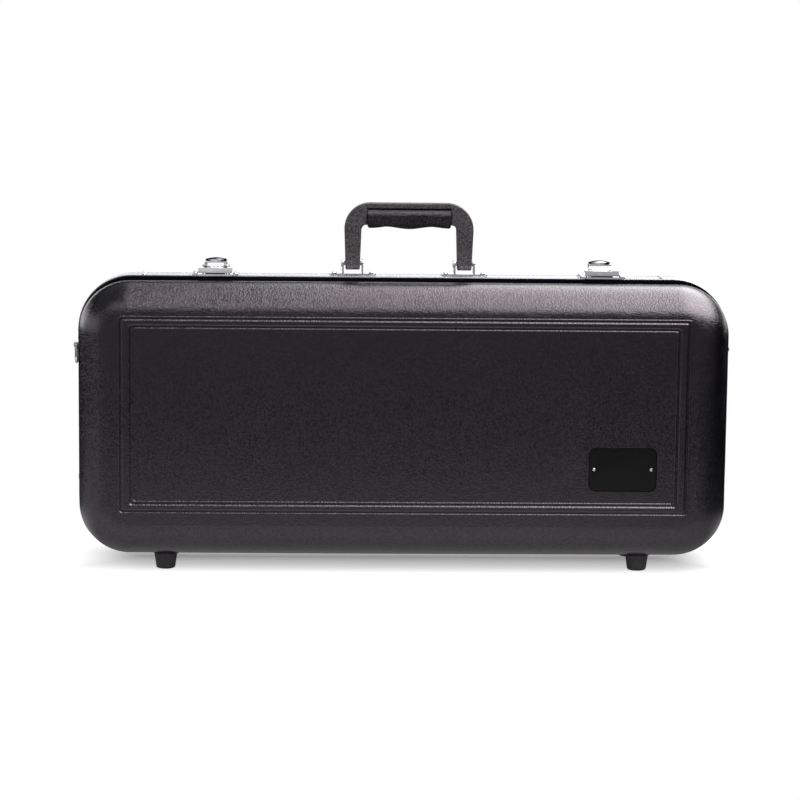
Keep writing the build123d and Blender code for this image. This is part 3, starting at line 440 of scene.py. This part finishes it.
def make_lid_pad():
    """The lid's pad: a foam slab in a plush cover, crowned and sewn through along a border."""
    low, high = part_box("lid_pad")
    piece = soft_copy("lid_padding", "lid_pad", PAD_VOXEL, PAD_ROUNDS)
    puff(piece, PAD_PRESSURE, PAD_CAP)
    half = (high - low) / 2
    middle = (high + low) / 2
    divide = piece.modifiers.new("divide", "SUBSURF")
    divide.levels = divide.render_levels = 1
    settle(piece)
    for vertex in piece.data.vertices:
        place = vertex.co - middle
        vertex.co.y = max(vertex.co.y, low.y)
        inset = min(half.x - abs(place.x), half.z - abs(place.z))
        front = min(1.0, max(0.0, (vertex.co.y - middle.y) / half.y))
        seam = math.exp(-((inset - BORDER) / SEAM_WIDTH) ** 2)
        vertex.co.y -= SEAM_DEPTH * seam * front
    finish_soft(piece, "plush_lining", "lid", "lid_pad")


make_insert()
make_lid_pad()

# ---------------------------------------------------------------- room

# Spans here are of unit directions: across is x, back is y and up is z. In each pair of
# levels, the first is reached at the start of the span that it goes with.
SOFTBOX_START_ACROSS, SOFTBOX_START_UP = (-0.06, 0.13), (0.38, 0.33)
SOFTBOX_FULL_BACK, SOFTBOX_FULL_UP = (-0.2, 0.3), (0.48, 0.78)
SOFTBOX_ACROSS, SOFTBOX_POWER = (-0.035, 0.21), (0.38, 15.2)
SOFTBOX_BACK, SOFTBOX_SHARE = (-0.6, 0.4), (1.0, 0.76)
WALL_UP = (0.3, 0.4)
CARD_ACROSS, CARD_POWER = (-0.55, -0.85), (0.0, 2.2)
FRONT_BACK, FRONT_POWER = (-0.5, -0.8), (0.0, 0.45)
SWEEP_BACK, SWEEP_UP, SWEEP_POWER = (0.3, 0.6), (0.17, 0.24), (1.5, 0.0)
ROOM_DARK = 0.015
ROOM_FILL = 0.55             # what matt surfaces get from all round


def make_world():
    """White for the camera and glass. Metal and plastic mirror a dark room with a softbox
    overhead that is brightest on the right, a white sweep low behind the object, a dim wall
    in front and a pale card low on the left."""
    world = bpy.data.worlds.new("world")
    bpy.context.scene.world = world
    world.use_nodes = True
    wires = Wiring(world.node_tree)
    rays = wires.node("LightPath").outputs
    x, y, z = wires.xyz(wires.node("TexCoord").outputs["Generated"])
    start = wires.ramp(x, SOFTBOX_START_ACROSS, SOFTBOX_START_UP)
    full = wires.ease(y, SOFTBOX_FULL_BACK, SOFTBOX_FULL_UP)
    softbox = wires.product(wires.ease(z, (start, full), RISE),
                            wires.ramp(x, SOFTBOX_ACROSS, SOFTBOX_POWER),
                            wires.ramp(y, SOFTBOX_BACK, SOFTBOX_SHARE))
    low = wires.ease(z, WALL_UP, FALL)
    card = wires.product(wires.ease(x, CARD_ACROSS, CARD_POWER), low)
    front = wires.product(wires.ease(y, FRONT_BACK, FRONT_POWER), low)
    sweep = wires.product(wires.ease(z, SWEEP_UP, SWEEP_POWER), wires.ease(y, SWEEP_BACK, RISE))
    room = wires.total(softbox, front, sweep, card, ROOM_DARK)
    fill, mirrored, plain = (wires.node("Background", {0: WHITE, 1: strength}).outputs[0]
                             for strength in (ROOM_FILL, room, 1.0))
    shown = wires.calc("MAXIMUM", rays["Is Camera Ray"], rays["Is Transmission Ray"])
    hidden = wires.mix(rays["Is Glossy Ray"], fill, mirrored)
    wires.node("OutputWorld", {0: wires.mix(shown, hidden, plain)})


# ---------------------------------------------------------------- floor

FLOOR_HALF = 14.0
FLOOR_COLOUR = (0.82, 0.82, 0.82, 1)
# The footprint's middle is set 2 cm behind, as the painted shadow falls to the back.
FOOTPRINT_HALF, FOOTPRINT_MIDDLE = 0.24, 0.02            # where the object stands

# Away is the distance from the object, here and below.
# Painted shadow: the glow the camera sees is dim under and near the object, on top of the cast
# shadow.
SHADOW_AWAY, SHADOW_LIFT = (-0.01, 0.08), (0.17, 0.85)   # lit up where the shadow fades
CLEAR_AWAY = (0.08, 0.14)                                # then only the background is seen
UNDER_REACH, UNDER_SAMPLES = 0.5, 16
UNDER_SPAN = (0.995, 0.93)   # the share of the room below that is free, from solid to clear

# How bright the floor is in reflections: a painted reflection, with painted shadow by the
# footprint. Spans are in metres.
NEAR_AWAY, NEAR_POWER = (0.25, 0.9), (1.4, 0.2)
# Painted shadow in the reflection: dim right by the footprint.
NEAR_EDGE = (0.0, 0.14)
NEAR_ACROSS, NEAR_ACROSS_SHARE = (0.2, 0.6), (1.0, 0.1)
NEAR_BACK, NEAR_BACK_SHARE = (0.25, -0.1), (0.06, 1.0)
FAR_BACK, FAR_POWER = (-0.9, -1.7), (0.0, 0.3)
FAR_ACROSS, FAR_SHARE = (-0.5, 0.5), (1.2, 0.7)
FARTHEST_BACK, FARTHEST_POWER = (-1.86, -2.0), (0.0, 0.5)
BEHIND_BACK, BEHIND_POWER = (0.25, 0.6), (0.0, 0.4)
BEHIND_ACROSS = (-0.06, 0.04)                            # from the footprint's ends


def mirrored_floor(wires, x, y, across, away):
    """How bright the floor is where the object mirrors it: a painted reflection, dim right by
    the footprint as painted shadow.
    """
    near = wires.product(wires.ease(away, NEAR_AWAY, NEAR_POWER),
                         wires.ease(away, NEAR_EDGE, RISE),
                         wires.ease(x, NEAR_ACROSS, NEAR_ACROSS_SHARE),
                         wires.ease(y, NEAR_BACK, NEAR_BACK_SHARE))
    far = wires.product(wires.ease(y, FAR_BACK, FAR_POWER),
                        wires.ease(x, FAR_ACROSS, FAR_SHARE))
    farthest = wires.ease(y, FARTHEST_BACK, FARTHEST_POWER)
    behind = wires.product(wires.ease(y, BEHIND_BACK, BEHIND_POWER),
                           wires.ease(across, BEHIND_ACROSS, FALL))
    return wires.total(near, far, farthest, behind)


def floor_shader(wires):
    """White, with the soft shadow of the object, partly cast and partly a painted shadow where the
    glow for the camera is dim, and with a painted reflection of set brightness. It is clear
    from below and where something hangs under it, so it doesn't hide an open lid."""
    rays = wires.node("LightPath").outputs
    x, y, _ = wires.xyz(wires.node("TexCoord").outputs["Object"])
    across = wires.calc("SUBTRACT", wires.calc("ABSOLUTE", x), FOOTPRINT_HALF)
    along = wires.calc("ABSOLUTE", wires.calc("SUBTRACT", y, FOOTPRINT_MIDDLE))
    away = wires.calc("MAXIMUM", across, along)
    # Painted shadow: the camera's glow is dim near the footprint.
    lift = wires.product(wires.ramp(away, SHADOW_AWAY, SHADOW_LIFT), rays["Is Camera Ray"])
    mirrored = wires.product(mirrored_floor(wires, x, y, across, away), rays["Is Glossy Ray"])
    glow = wires.node("Emission", {0: WHITE, 1: wires.total(lift, mirrored)}).outputs[0]
    matt = wires.node("BsdfDiffuse", {0: FLOOR_COLOUR}).outputs[0]
    lit = wires.node("AddShader", {0: matt, 1: glow}).outputs[0]
    solid = wires.mix(rays["Is Glossy Ray"], lit, glow)
    under = wires.node("AmbientOcclusion", {"Distance": UNDER_REACH},
                       inside=True, samples=UNDER_SAMPLES).outputs["AO"]
    open_floor = wires.calc("MAXIMUM", wires.ease(away, CLEAR_AWAY, RISE),
                            wires.ease(under, UNDER_SPAN, RISE))
    gap = wires.calc("MAXIMUM", wires.node("NewGeometry").outputs["Backfacing"],
                     wires.product(open_floor, rays["Is Camera Ray"]))
    return wires.mix(gap, solid, wires.node("BsdfTransparent").outputs[0])


def make_floor():
    corners = [(x * FLOOR_HALF, y * FLOOR_HALF, 0) for x, y in ((-1, -1), (1, -1), (1, 1), (-1, 1))]
    mesh = bpy.data.meshes.new("floor")
    mesh.from_pydata(corners, [], [(0, 1, 2, 3)])
    floor = bpy.data.objects.new("floor", mesh)
    bpy.context.scene.collection.objects.link(floor)
    material = bpy.data.materials.new("floor")
    material.use_nodes = True
    wires = Wiring(material.node_tree)
    wires.node("OutputMaterial", {0: floor_shader(wires)})
    mesh.materials.append(material)


# ---------------------------------------------------------------- lamps

LAMPS = {
    "softbox": dict(place=(0.5, -0.2, 1.5), target=(0.1, 0, 0.2), size=(1.4, 1.6), watts=9.0),
    "front": dict(place=(-1.2, -2.2, 1.9), target=(0, 0, 0.12), size=(1.4, 0.8), watts=8.0),
}


def area_light(name, place, target, size, watts):
    data = bpy.data.lights.new(name, "AREA")
    data.shape = "RECTANGLE"
    data.size, data.size_y = size
    data.energy = watts
    lamp = bpy.data.objects.new(name, data)
    bpy.context.scene.collection.objects.link(lamp)
    lamp.location = place
    lamp.rotation_euler = (Vector(target) - Vector(place)).to_track_quat("-Z", "Y").to_euler()


make_world()
make_floor()
for name, lamp in LAMPS.items():
    area_light(name, **lamp)

# ---------------------------------------------------------------- end

view = bpy.context.scene.view_settings
view.view_transform = "Standard"
